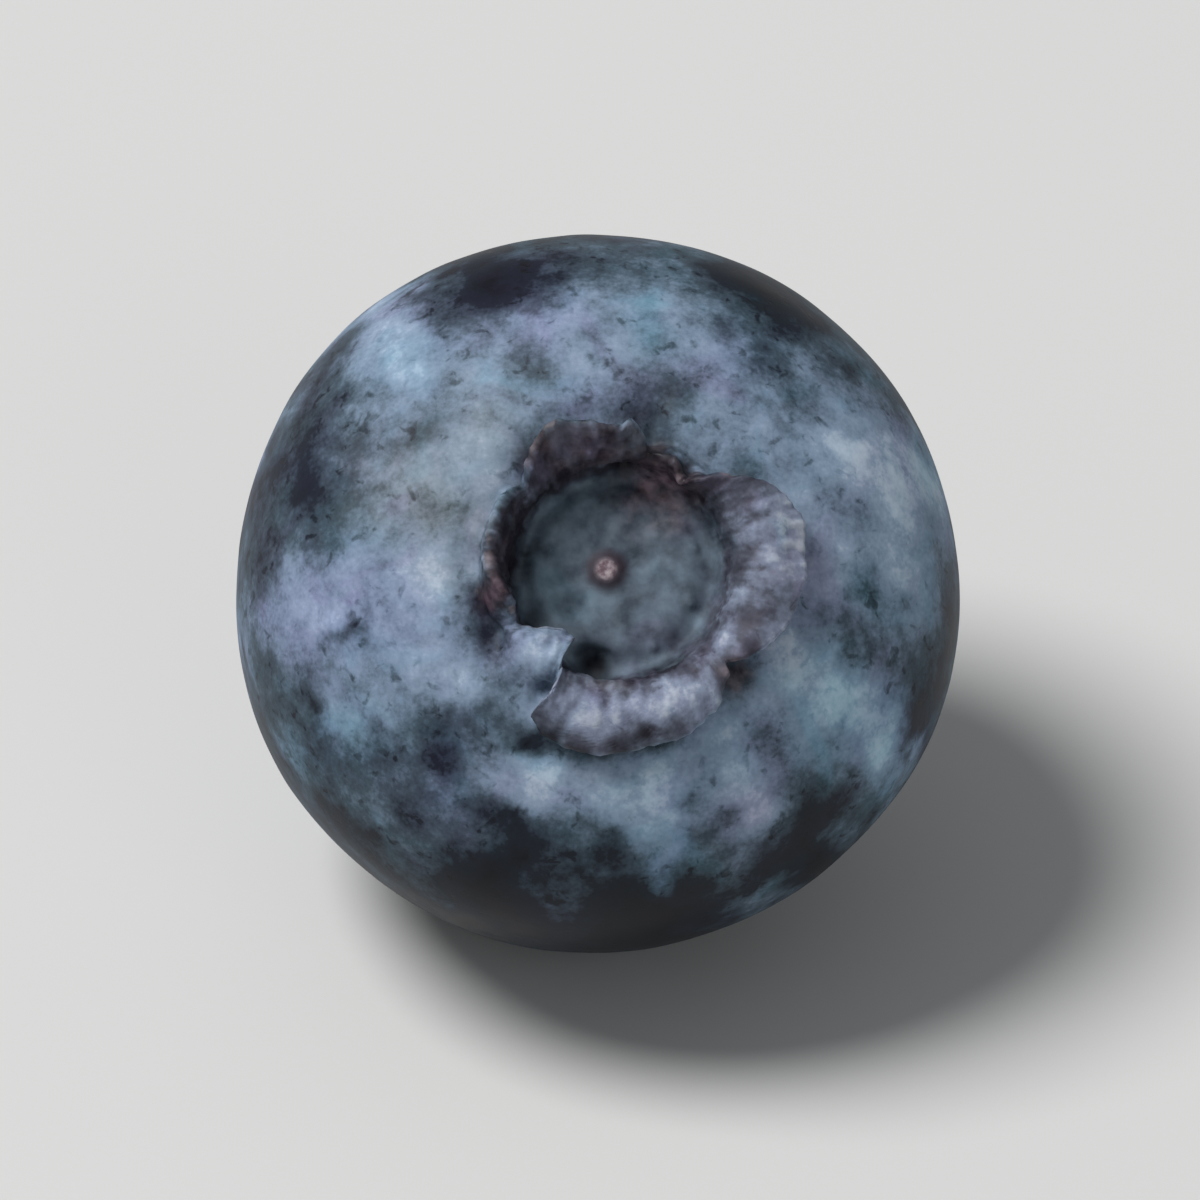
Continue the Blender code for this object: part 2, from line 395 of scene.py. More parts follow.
@dataclass(frozen=True)
class Crown:
    """The crown: a low wall of five calyx lobes, which leans out and bends over as it rises."""

    groove_radius: float = 3.80 * MM
    groove_depth: float = 0.12 * MM
    wall_radius: float = 3.08 * MM
    wall_root: float = 6.35 * MM
    lean: float = 4.0
    # The shares of a lobe's length at which its bend begins and ends
    bend_from: float = 0.10
    bend_to: float = 0.65
    # The outer face comes out of the groove at this share of the wall's height
    out_of_groove: float = 0.20
    root_thickness: float = 0.84 * MM
    rim_thickness: float = 0.34 * MM
    notch_share: float = 0.40
    point: float = 0.14
    # The broadest lobe is torn short on one side
    tear_at: float = 45.0
    tear_half_width: float = 26.0
    tear_depth: float = 1.20 * MM
    # Where the rim stands off its circle: angle, half the width, and how far out
    nudges: tuple[tuple[float, float, float], ...] = (
        (52.0, 16.0, -0.62 * MM),
        (92.0, 14.0, -0.25 * MM),
        (122.0, 12.0, 0.15 * MM),
    )
    # Where the rim turns aside: angle, half the width, and how many degrees further round
    twists: tuple[tuple[float, float, float], ...] = ((226.0, 20.0, 17.0), (258.0, 26.0, -27.0))
    # The powers of the height up the wall with which the nudges and the twists grow
    nudge_power: float = 1.5
    twist_power: float = 2.0
    # The stations of the wall's outer and inner root
    roots: Span = (2.0, 4.92)
    # How far the crown sits off the axis, and over which distances from it
    shift: tuple[float, float] = (0.30 * MM, -0.15 * MM)
    shift_radius: float = 3.1 * MM
    shift_reach: float = 1.6 * MM
    # Between two lobes the outer face is creased
    crease_depth: float = 0.16 * MM
    crease_half_width: float = 4.5
    # How unevenly the lobes dried: their rims' raggedness, their waves, and the sizes of both
    ragged: float = 0.13 * MM
    ragged_size: float = 0.60 * MM
    waver: float = 0.11 * MM
    waver_size: float = 1.1 * MM
    uneven_thickness: float = 0.30
    # The angles from which the noise of the waves and of the thickness is read
    waver_from: float = 77.0
    thickness_from: float = 201.0
    wall_rings: int = 13
    rim_rings: int = 7
    noise: LatticeNoise = NOISE
    lobes: tuple[Lobe, ...] = (
        Lobe(74, 136, 1.52 * MM, 36, 2.6),
        Lobe(136, 204, 1.20 * MM, 10, 2.4),
        Lobe(204, 237, 1.38 * MM, -128, 2.2),
        Lobe(237, 316, 1.82 * MM, 98, 3.4),
        Lobe(316, 434, 2.35 * MM, 104, 2.6),
    )

    def noise_round(self, angle: Floats, size: float, layers: int) -> Floats:
        """Noise of this size on a circle of the wall's radius."""
        return self.noise.layered(circle(angle, self.wall_radius), size, layers)

    def at_notches(self, angle: Floats, half_width: float) -> Floats:
        """1 at each notch, with a bell of this half width in degrees on both sides of it."""
        return sum(bell(angle, lobe.start, half_width) for lobe in self.lobes)

    def aside(self, station: Floats, angle: Floats) -> Floats:
        """How many degrees further round each place of the wall lies: the most at the tips."""
        outside, inside = self.roots
        along = np.interp(station, (outside, Part.RIM, Part.INNER_WALL, inside), (0, 1, 1, 0))
        length, _, whole = self.lobe_shape(angle)
        turned = sum(out * bell(angle, middle, width) for middle, width, out in self.twists)
        return (along[:, None] * length / whole) ** self.twist_power * turned

    def off_axis(self, radius: Floats, height: Floats) -> Floats:
        """How far places are shifted off the axis: a bell over their distance from it."""
        away = (radius - self.shift_radius) / self.shift_reach
        share = np.exp(-(away**2)) * (height > 0)
        return share[..., None] * (*self.shift, 0.0)

    def lobe_shape(self, angle: Floats) -> tuple[Floats, Floats, Floats]:
        """How the wall rises and bends at each angle.

        At a notch the bend and the whole length are the means of the two lobes'. From there
        to a lobe's middle they go over to the lobe's own by the share 1 - 0.86 x^f - 0.14 x,
        where x runs from 0 at its middle to 1 at a notch, and f is the lobe's fullness. By
        the same share the wall rises from a part of the whole length to all of it. The tear
        takes away a bell-shaped share, and noise makes the rim ragged.

        Args:
            angle: The angle of each column, in degrees.

        Returns:
            The wall's length, the bend in degrees over the whole length, and that length.
        """
        length, bend, whole = (np.zeros_like(angle) for _ in range(3))
        for before, lobe, after in zip(
            (self.lobes[-1], *self.lobes), self.lobes, (*self.lobes[1:], self.lobes[0])
        ):
            half = (lobe.end - lobe.start) / 2
            offset = (angle - lobe.start - half + 180) % 360 - 180
            inside = np.abs(offset) <= half
            across = np.abs(offset[inside] / half)
            blade = 1 - (1 - self.point) * across**lobe.fullness - self.point * across
            left = offset[inside] < 0
            beside_bend = np.where(left, before.bend, after.bend)
            beside_length = np.where(left, before.length, after.length)
            bend[inside] = lobe.bend + (beside_bend - lobe.bend) / 2 * (1 - blade)
            whole[inside] = lobe.length + (beside_length - lobe.length) / 2 * (1 - blade)
            length[inside] = whole[inside] * (self.notch_share + (1 - self.notch_share) * blade)
        length -= self.tear_depth * bell(angle, self.tear_at, self.tear_half_width)
        length += self.ragged * self.noise_round(angle, self.ragged_size, 4)
        return length, bend, whole

    def wall_side(self, angle: Floats, along: Floats, side: int) -> tuple[Floats, Floats]:
        """Rings on one side of the wall.

        The wall's middle goes straight up at its lean, then turns along an arc, and then
        goes straight on. The arc's chord points halfway between the arc's two headings. A
        side lies half the wall's thickness off the middle. Slow waves and the nudges shift
        both sides together, more towards the rim. The outer face is creased at the notches.

        Args:
            angle: The angle of each column, in degrees.
            along: How far up the wall each ring is, from 0 at the root to 1 at the rim.
            side: 1 for the outer face, -1 for the inner face.

        Returns:
            The radius and the height of each ring.
        """
        length, bend, whole = self.lobe_shape(angle)
        along = along[:, None]
        lean = math.radians(self.lean)
        way = length * along
        arc = (self.bend_to - self.bend_from) * whole
        before = np.minimum(way, self.bend_from * whole)
        on_arc = np.clip(way - before, 0, arc)
        after = way - before - on_arc
        turned = np.radians(bend) * on_arc / arc
        heading = lean + turned
        chord = on_arc * np.sinc(turned / (2 * math.pi))
        radius = self.wall_radius + before * math.sin(lean) + after * np.sin(heading)
        radius += chord * np.sin(lean + turned / 2)
        height = self.wall_root + before * math.cos(lean) + after * np.cos(heading)
        height += chord * np.cos(lean + turned / 2)
        waves = self.noise_round(angle + self.waver_from, self.waver_size, 2)
        uneven = self.noise_round(angle + self.thickness_from, self.waver_size, 2)
        rim = self.rim_thickness * (1 + self.uneven_thickness * uneven)
        shift = self.waver * waves + sum(
            out * bell(angle, middle, half_width) for middle, half_width, out in self.nudges
        )
        offset = side * (self.root_thickness + (rim - self.root_thickness) * along) / 2
        offset = offset + shift * along**self.nudge_power
        if side > 0:
            offset = offset - self.crease_depth * self.at_notches(angle, self.crease_half_width)
        return radius + offset * np.cos(heading), height - offset * np.sin(heading)

    def rim(self, angle: Floats) -> tuple[Floats, Floats]:
        """Rings over the rounded rim: half a circle from its outer edge to its inner one."""
        top = np.array([1.0])
        outer_radius, outer_height = self.wall_side(angle, top, 1)
        inner_radius, inner_height = self.wall_side(angle, top, -1)
        across_radius = (outer_radius - inner_radius) / 2
        across_height = (outer_height - inner_height) / 2
        turn = np.linspace(math.pi / 2, -math.pi / 2, self.rim_rings + 2)[1:-1, None]
        return (
            (outer_radius + inner_radius) / 2
            + across_radius * np.sin(turn)
            - across_height * np.cos(turn),
            (outer_height + inner_height) / 2
            + across_height * np.sin(turn)
            + across_radius * np.cos(turn),
        )

    def surface(self, angle: Floats, skin_height: float) -> Rings:
        """The groove, the outside of the lobes, their rims and their inside.

        Args:
            angle: The angle of each column, in degrees.
            skin_height: The height of the body's skin at the groove's radius.

        Returns:
            The crown's rings.
        """
        steps = np.linspace(0, 1, self.wall_rings)
        outer_radius, outer_height = self.wall_side(angle, steps[steps > self.out_of_groove], 1)
        groove_radius = np.full((1, len(angle)), self.groove_radius)
        groove_height = np.full((1, len(angle)), skin_height - self.groove_depth)
        inner_radius, inner_height = self.wall_side(angle, steps[::-1], -1)
        return Rings.joined(
            [
                stretch(
                    Part.OUTER_WALL,
                    np.concatenate([groove_radius, outer_radius]),
                    np.concatenate([groove_height, outer_height]),
                ),
                stretch(Part.RIM, *self.rim(angle)),
                stretch(Part.INNER_WALL, inner_radius, inner_height),
            ]
        )


@dataclass(frozen=True)
class Bump:
    """A round rise or, with a height below 0, a round hollow, seen from over the crown."""

    radius: float
    angle: float
    width: float
    height: float

    def at(self, across: Floats) -> Floats:
        """Its height at places seen from over the crown: a bell over the distance to its middle."""
        turn = math.radians(self.angle)
        middle = self.radius * np.array([math.cos(turn), math.sin(turn)])
        distance = np.linalg.norm(across - middle, axis=-1) / self.width
        return self.height * np.exp(-(distance**2))


@dataclass(frozen=True)
class Disc:
    """The sunken disc inside the crown, with the scars of the stamens and of the style."""

    # Distance from the axis and height, from the margin inwards
    profile: Profile = (
        (2.54 * MM, 5.98 * MM),
        (2.34 * MM, 5.74 * MM),
        (1.90 * MM, 5.84 * MM),
        (1.15 * MM, 5.72 * MM),
        (0.48 * MM, 5.68 * MM),
        (0.28 * MM, 5.80 * MM),
        (0.12 * MM, 5.83 * MM),
    )
    middle: float = 5.80 * MM
    stamens: int = 10
    first_stamen: float = 11.0
    stamen_radius: float = 2.22 * MM
    stamen_width: float = 0.13 * MM
    stamen_height: float = 0.09 * MM
    # Three pits at the margin and two shallow hollows beside it
    pits: tuple[Bump, ...] = (
        Bump(2.36 * MM, 261, 0.44 * MM, -0.58 * MM),
        Bump(2.62 * MM, 78, 0.30 * MM, -0.42 * MM),
        Bump(2.50 * MM, 183, 0.30 * MM, -0.35 * MM),
        Bump(2.10 * MM, 212, 0.40 * MM, -0.14 * MM),
        Bump(2.05 * MM, 50, 0.62 * MM, -0.14 * MM),
    )
    # Ridges between the stamens, with their first turn in radians
    ridge_height: float = 0.025 * MM
    ridge_turn: float = 0.6
    ridged: Zone = Zone((0.5 * MM, 1.2 * MM), (1.9 * MM, 2.3 * MM))

    def surface(self, angle: Floats) -> Rings:
        """The disc's rings, from its margin in to the scar of the style."""
        radius, height = np.array(self.profile).T[..., None] * np.ones_like(angle)
        return stretch(Part.DISC, radius, height)

    def relief(self, across: Floats) -> Floats:
        """The disc's low relief: ten stamen scars, ten faint ridges between them, and the pits.

        Args:
            across: Places seen from over the crown.

        Returns:
            How far the surface rises at each place.
        """
        radius = np.linalg.norm(across, axis=-1)
        turn = np.arctan2(across[..., 1], across[..., 0])
        ridges = self.ridge_height * np.cos(self.stamens * turn + self.ridge_turn)
        angles = self.first_stamen + 360 * np.arange(self.stamens) / self.stamens
        scars = sum(
            Bump(self.stamen_radius, angle, self.stamen_width, self.stamen_height).at(across)
            for angle in angles
        )
        return ridges * self.ridged.share(radius) + scars - self.pit_depth(across)

    def pit_depth(self, across: Floats) -> Floats:
        """How deep the pits are at places seen from over the crown."""
        return -sum(pit.at(across) for pit in self.pits)


@dataclass(frozen=True)
class Lie:
    """How the berry lies: tipped forward, its underside slumped back and sagging a little."""

    tip_forward: float = 43.0
    equator_above: float = 8.58 * MM
    equator_behind: float = 0.40 * MM
    slump: float = 1.15 * MM
    sag: float = 0.25 * MM
    sag_radius: float = 3.4 * MM
    sag_behind: float = 1.50 * MM

    def laid(self, points: Floats) -> Floats:
        """Lay points of the upright berry down.

        Below the equator's middle, a point's share grows from 0 to 1 at the floor. It moves
        back by the slump times the share cubed, and down by the sag times the share and a
        bell over its distance from the flat spot. Nothing goes below the floor.

        Args:
            points: Places on the upright berry.

        Returns:
            The places on the berry as it lies.
        """
        tip = np.array(Matrix.Rotation(math.radians(self.tip_forward), 3, "X"))
        laid = points @ tip.T + (0, self.equator_behind, self.equator_above)
        share = np.clip(1 - laid[..., 2] / self.equator_above, 0, None)
        laid[..., 1] += self.slump * share**3
        away = np.hypot(laid[..., 0], laid[..., 1] - self.sag_behind) / self.sag_radius
        laid[..., 2] -= self.sag * np.exp(-(away**2)) * share
        laid[..., 2] = np.maximum(laid[..., 2], 0)
        return laid


@dataclass(frozen=True)
class Patch:
    """A patch on the crown's side: its place in millimetres and degrees, and its finish.

    wax is how much thicker the bloom is, blush how far the red of the skin shows, dry how
    dry and brown the tissue is, warm how far the bloom has yellowed, and cool how greenish
    blue it is. Some patches are painted light, with more wax, or painted shade, with less.
    The patch is round, or a band round the crown that runs on to both sides by its arc in
    degrees.
    """

    radius: float
    angle: float
    size: float
    wax: float
    blush: float = 0.0
    dry: float = 0.0
    warm: float = 0.0
    cool: float = 0.0
    arc: float = 0.0

    def near(self, radius: Floats, angle: Floats) -> Floats:
        """exp(-x^2), where x is the way from the patch's middle or its arc, in its sizes.

        Args:
            radius: Each place's distance from the crown's axis, in millimetres.
            angle: Each place's angle round it, in degrees.

        Returns:
            The patch's strength at each place, from 0 to 1.
        """
        off = np.abs((angle - self.angle + 180) % 360 - 180)
        half = np.sin(np.radians(np.clip(off - self.arc, 0, None)) / 2)
        away = (radius - self.radius) ** 2 + 4 * radius * self.radius * half**2
        return np.exp(-away / self.size**2)


@dataclass(frozen=True)
class Bloom:
    """The skin's wax bloom: its thickness, where red skin or dry tissue shows, painted light and
    shade.
    """

    thickness: float = 0.525
    # The bloom is thicker round the crown, fading out between two distances from its axis,
    # and thinner towards the equator, between two others. That thinning is partly painted
    # shade: it darkens the fruit's outline
    round_crown: float = 0.08
    crown_reach: Span = (4.5 * MM, 7.5 * MM)
    above_equator: Span = (0, 3 * MM)
    equator_thinning_and_shade: float = -0.17
    equator_reach: Span = (6.8 * MM, 8.8 * MM)
    # Slow and quick changes of thickness over the skin, and the sizes of both
    slow_change: float = 0.15
    slow_size: float = 4.2 * MM
    quick_change: float = 0.12
    quick_size: float = 1.3 * MM
    blush_change: float = 0.15
    # How far the patches' outlines wander, over what distance, and from where outwards
    wander: float = 0.60 * MM
    wander_size: float = 1.5 * MM
    wander_reach: Span = (3.5 * MM, 6 * MM)
    # Noise is read this far off for the wandering along X, Y and Z
    wander_shifts: tuple[float, float, float] = (11 * MM, 23 * MM, 37 * MM)
    # The patches on the crown's side fade out between these heights
    patches_end: Span = (-2.5 * MM, 1.0 * MM)
    patches: tuple[Patch, ...] = (
        # Thick bloom, thin bloom, rubs down to the skin, and painted light and shade near the
        # outline
        Patch(5.6, 100, 1.5, 0.12, 0.1),
        Patch(6.2, 98, 0.7, 0.14, 0.4),
        Patch(6.0, 80, 0.6, 0.00, cool=0.7),
        Patch(6.8, 129, 0.9, 0.27, cool=0.5),
        Patch(6.0, 60, 0.8, 0.14, 0.2),
        # Painted light: thicker bloom near the outline on the upper left, the side the key light
        # comes from
        Patch(8.3, 126, 1.0, 0.50),
        Patch(6.5, 187, 1.4, 0.28, 0.5),
        Patch(7.9, 184, 1.0, 0.20, 0.3),
        Patch(4.8, 194, 1.0, 0.24, 0.3),
        Patch(4.7, 213, 0.7, 0.22),
        Patch(4.4, 180, 0.7, 0.40),
        Patch(5.6, 196, 1.0, -0.20),
        Patch(5.6, 66, 0.7, 0.08),
        Patch(6.0, 212, 0.8, -0.12, 0.1),
        Patch(7.8, 210, 1.0, 0.26, cool=0.7),
        Patch(6.6, 22, 0.7, 0.32),
        Patch(6.9, 40, 0.8, -0.20),
        # Painted light: thicker bloom near the outline on the right
        Patch(8.1, 14, 1.4, 0.52, cool=0.4),
        Patch(5.6, 356, 1.0, 0.34),
        Patch(6.9, 352, 0.5, -0.24, cool=0.6),
        # Painted light: thicker bloom towards the lower right of the outline
        Patch(7.0, 327, 1.2, 0.36, cool=0.8),
        Patch(7.7, 326, 1.3, 0.40, cool=0.3),
        Patch(5.8, 278, 1.1, 0.26, cool=0.5),
        Patch(5.9, 276, 0.5, 0.12),
        Patch(6.2, 286, 0.28, -0.20),
        Patch(7.1, 280, 0.6, 0.16, 0.4),
        Patch(6.8, 298, 0.8, 0.54, 0.1),
        Patch(7.7, 222, 0.7, 0.14),
        Patch(4.6, 64, 0.9, -0.24),
        Patch(5.9, 78, 0.8, -0.06),
        Patch(7.3, 56, 1.2, -0.30, cool=0.3),
        Patch(6.4, 228, 1.0, -0.18, 0.9),
        Patch(5.7, 249, 0.9, 0.38),
        Patch(5.4, 302, 0.9, 0.20, cool=0.4),
        Patch(8.7, 335, 0.9, -0.28, 0.6),
        Patch(7.7, 160, 1.0, -0.14, 0.8),
        # Partly purplish bare skin, partly painted shade near the upper outline
        Patch(7.7, 104, 0.9, -0.32, 0.8),
        Patch(6.7, 189, 0.45, -0.36),
        # Painted shade: thin bloom near the outline towards the bottom, which darkens it there
        Patch(8.0, 248, 1.6, -0.48, 0.4),
        Patch(8.3, 275, 1.5, -0.60),
        Patch(8.6, 306, 0.9, -0.34),
        # Narrow rubs and scratches round the crown's side
        Patch(6.2, 188, 0.18, -0.14, arc=6.0),
        Patch(7.5, 199, 0.20, -0.14, arc=4.0),
        Patch(5.7, 40, 0.18, -0.14, arc=7.0),
        Patch(6.6, 338, 0.20, -0.14, arc=5.0),
        # The bloom beside the crown, yellowed
        Patch(4.4, 130, 0.9, 0.02, warm=0.8),
        Patch(5.2, 156, 1.1, -0.02, warm=0.8),
        Patch(4.2, 160, 0.9, -0.04, warm=0.7),
        Patch(4.1, 183, 0.6, 0.06, warm=0.6),
        Patch(6.2, 150, 1.0, -0.12, 0.3, warm=0.5),
        # The crown: a dry, reddish notch, a brown one, walls that are dark inside (brownish tissue
        # under painted shade), a pale rim on the left, and thin bloom beside and below the lobe
        # that folded in
        Patch(2.95, 193, 0.38, -0.50, 1.0, 0.32, warm=0.3),
        Patch(4.15, 315, 0.40, -0.45, 0.3, 0.8),
        Patch(2.9, 98, 0.50, -0.18, 0.6, 0.35, arc=8.0),
        Patch(4.1, 92, 0.50, -0.08, 0.3, arc=14.0),
        Patch(4.3, 32, 0.55, -0.18),
        Patch(2.0, 52, 0.70, -0.10, 0.2, 0.80),
        # Painted shade, on brownish tissue: the dark insides of the walls at the upper left and
        # upper right
        Patch(2.95, 124, 0.60, -0.46, 0.6, 0.2),
        Patch(2.65, 163, 0.42, -0.40, 0.4, 0.15, arc=14.0),
        Patch(2.65, 55, 0.55, -0.50, 0.3, 0.40, arc=12.0),
        Patch(2.70, 22, 0.45, 0.05, 0.1),
        Patch(3.45, 150, 0.32, 0.16, warm=0.3, arc=12.0),
        Patch(3.30, 168, 0.26, 0.25, warm=0.4, arc=12.0),
        Patch(3.45, 208, 0.75, -0.30, 0.3),
        Patch(3.40, 237, 0.40, -0.08),
        # The lobes that bent over: one mottled and pinkish, with a painted highlight, a white
        # crescent, on its inside and a dark band outside that; and one pale inside, with painted
        # shadow between it and the disc, under its outer edge and beside its left edge. The last
        # patch is the pale lobe that folded in.
        Patch(4.3, 0, 0.80, 0.18, 0.2, 0.22),
        Patch(4.8, 333, 0.60, 0.36),
        # Painted highlight: the white crescent on the inside of the lobe on the right
        Patch(3.28, 331, 0.24, 0.22, arc=15.0),
        Patch(4.00, 331, 0.36, -0.12, 0.1, 0.1, arc=9.0),
        Patch(3.75, 270, 0.55, 0.14, 0.1, arc=24.0),
        # Painted shadow: between the lower lobe and the disc, beside the lobe that folded in, and
        # under the lower lobe's outer edge
        Patch(2.90, 285, 0.30, -0.22, arc=16.0),
        Patch(3.25, 262, 0.26, -0.18, 0.4),
        Patch(4.58, 266, 0.40, -0.42, arc=20.0),
        Patch(3.00, 268, 0.20, 0.20, warm=0.7, arc=7.0),
        # Painted shadow beside the lower lobe's left edge
        Patch(4.65, 238, 0.36, -0.16, arc=8.0),
        Patch(2.8, 227, 0.5, 0.26),
    )
    # The stem's side has rubs at random places, whose middles lie on an ellipsoid
    hidden_rubs: int = 16
    hidden_seed: int = 11
    hidden_height: Span = (-6.5, 1.0)
    hidden_radius: float = 9 * MM
    hidden_half_height: float = 8 * MM
    hidden_size: Span = (0.7 * MM, 2.2 * MM)
    hidden_wax: Span = (-0.42, 0.18)
    noise: LatticeNoise = NOISE

    def on_crown_side(self, points: Floats) -> Floats:
        """What the patches of the crown's side add, each a bell over the way from its middle.

        Args:
            points: Places on the upright berry.

        Returns:
            Wax, blush, dryness, warmth and coolness, on a new last axis.
        """
        radius = np.linalg.norm(points[..., :2], axis=-1) / MM
        angle = np.degrees(np.arctan2(points[..., 1], points[..., 0]))
        total = np.zeros((*points.shape[:-1], 5))
        for patch in self.patches:
            kinds = (patch.wax, patch.blush, patch.dry, patch.warm, patch.cool)
            total += patch.near(radius, angle)[..., None] * kinds
        return total * ease(*self.patches_end, points[..., 2])[..., None]

    def on_stem_side(self, points: Floats) -> Floats:
        """What rubs at random places round the stem's side add, in the same form."""
        draw = np.random.default_rng(self.hidden_seed)
        total = np.zeros((*points.shape[:-1], 5))
        for _ in range(self.hidden_rubs):
            turn = draw.uniform(0, 2 * math.pi)
            height = draw.uniform(*self.hidden_height) * MM
            reach = self.hidden_radius * math.sqrt(1 - (height / self.hidden_half_height) ** 2)
            middle = np.array([reach * math.cos(turn), reach * math.sin(turn), height])
            away = np.linalg.norm(points - middle, axis=-1) / draw.uniform(*self.hidden_size)
            wax = draw.uniform(*self.hidden_wax)
            total += np.exp(-(away**2))[..., None] * (wax, max(0.0, -wax), 0.0, 0.0, 0.0)
        return total

    def over(self, points: Floats) -> tuple[Floats, Floats, Floats, Floats, Floats]:
        """Wax, blush, dryness, warmth and coolness all over the fruit, each from 0 to 1."""
        radius = np.linalg.norm(points[..., :2], axis=-1)
        wander = self.wander * ease(*self.wander_reach, radius)
        wandered = points + wander[..., None] * np.stack(
            [
                self.noise.layered(points + shift, self.wander_size, 3)
                for shift in self.wander_shifts
            ],
            axis=-1,
        )
        added = self.on_crown_side(wandered) + self.on_stem_side(wandered)
        wax, blush, dry, warmth, coolness = np.moveaxis(added, -1, 0)
        crown_side = ease(*self.above_equator, points[..., 2])
        # Thinner bloom towards the equator, partly painted shade on the outline
        wax = wax + self.thickness + self.equator_thinning_and_shade * ease(*self.equator_reach, radius)
        wax += self.round_crown * crown_side * (1 - ease(*self.crown_reach, radius))
        wax += self.slow_change * self.noise.layered(points, self.slow_size, 2)
        wax += self.quick_change * self.noise.layered(points + self.slow_size, self.quick_size, 3)
        change = self.noise.at(points - self.slow_size, self.slow_size)
        blush = blush + self.blush_change * change
        kinds = (wax, blush, dry, warmth, coolness)
        return tuple(np.clip(values, 0, 1) for values in kinds)


@dataclass(frozen=True)
class WaxLayer:
    """Unevenness of the wax at one size: grains this many millimetres wide, and how strong."""

    size_mm: float
    strength: float
    detail: float = 3.0
    warp: float = 0.0


@dataclass(frozen=True)
class Tint:
    """A tint about half as light as white, which shifts a colour and hardly darkens it.

    Its share grows from 0 to the full one as the drift's noise goes from start to end. A
    layer of the skin can add to it.
    """

    colour: str
    start: float
    end: float
    share: float
    layer: Layer | None = None
    layer_share: float = 0.0


